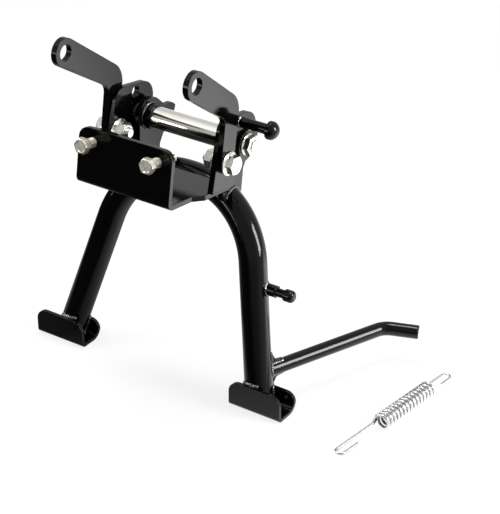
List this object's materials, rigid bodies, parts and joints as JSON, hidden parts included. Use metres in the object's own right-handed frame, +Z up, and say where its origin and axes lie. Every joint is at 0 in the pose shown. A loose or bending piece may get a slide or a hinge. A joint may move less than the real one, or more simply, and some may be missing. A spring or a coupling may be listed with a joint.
{
  "type": "motorcycle centre stand",
  "caption": "Motorcycle centre stand: bent-tube legs with feet and foot lever, hinged in a plate bracket with arms and set screws, with its loose return spring.",
  "frame": {"origin": "middle of the bore in the left arm's end", "axes": "+X across the machine towards the right arm, +Y to the machine's rear, +Z up with the stand down"},
  "size_m": [0.4075, 0.2334, 0.361],
  "materials": {
    "black_powder_coat": "gloss",
    "zinc_plate": "satin",
    "spring_steel": "satin"
  },
  "bodies": {
    "bracket": {"bracket_spring_pin": "black_powder_coat", "cross_plate": "black_powder_coat", "left_arm": "black_powder_coat", "left_arm_bolt": "zinc_plate", "left_arm_nut": "zinc_plate", "left_pivot_washer": "black_powder_coat", "left_side_plate": "black_powder_coat", "left_weld_nut": "zinc_plate", "pivot_bolt": "zinc_plate", "pivot_nut": "zinc_plate", "pivot_sleeve": "zinc_plate", "return_spring": "spring_steel", "right_arm": "black_powder_coat", "right_arm_bolt": "zinc_plate", "right_arm_nut": "zinc_plate", "right_pivot_washer": "black_powder_coat", "right_side_plate": "black_powder_coat", "right_weld_nut": "zinc_plate"},
    "stand": {"leg_tube": "black_powder_coat", "left_lug": "black_powder_coat", "right_lug": "black_powder_coat", "left_hub_collar": "black_powder_coat", "right_hub_collar": "black_powder_coat", "left_foot": "black_powder_coat", "right_foot": "black_powder_coat", "foot_lever": "black_powder_coat", "upper_lever_rib": "black_powder_coat", "lower_lever_rib": "black_powder_coat", "leg_spring_pin": "black_powder_coat"},
    "left_screw": {"left_set_screw": "zinc_plate"},
    "right_screw": {"right_set_screw": "zinc_plate"}
  },
  "joints": [
    {"name": "stand_pivot", "type": "hinge", "parent": "bracket", "child": "stand", "pos_m": [0.068, 0.10014, -0.09666], "axis": [1, 0, 0], "range_deg": [0, 100]},
    {"name": "left_screw_slide", "type": "slide", "parent": "bracket", "child": "left_screw", "axis": [0, 0.9853, -0.1711], "range_m": [-0.005, 0.011]},
    {"name": "right_screw_slide", "type": "slide", "parent": "bracket", "child": "right_screw", "axis": [0, 0.9853, -0.1711], "range_m": [-0.005, 0.011]}
  ]
}
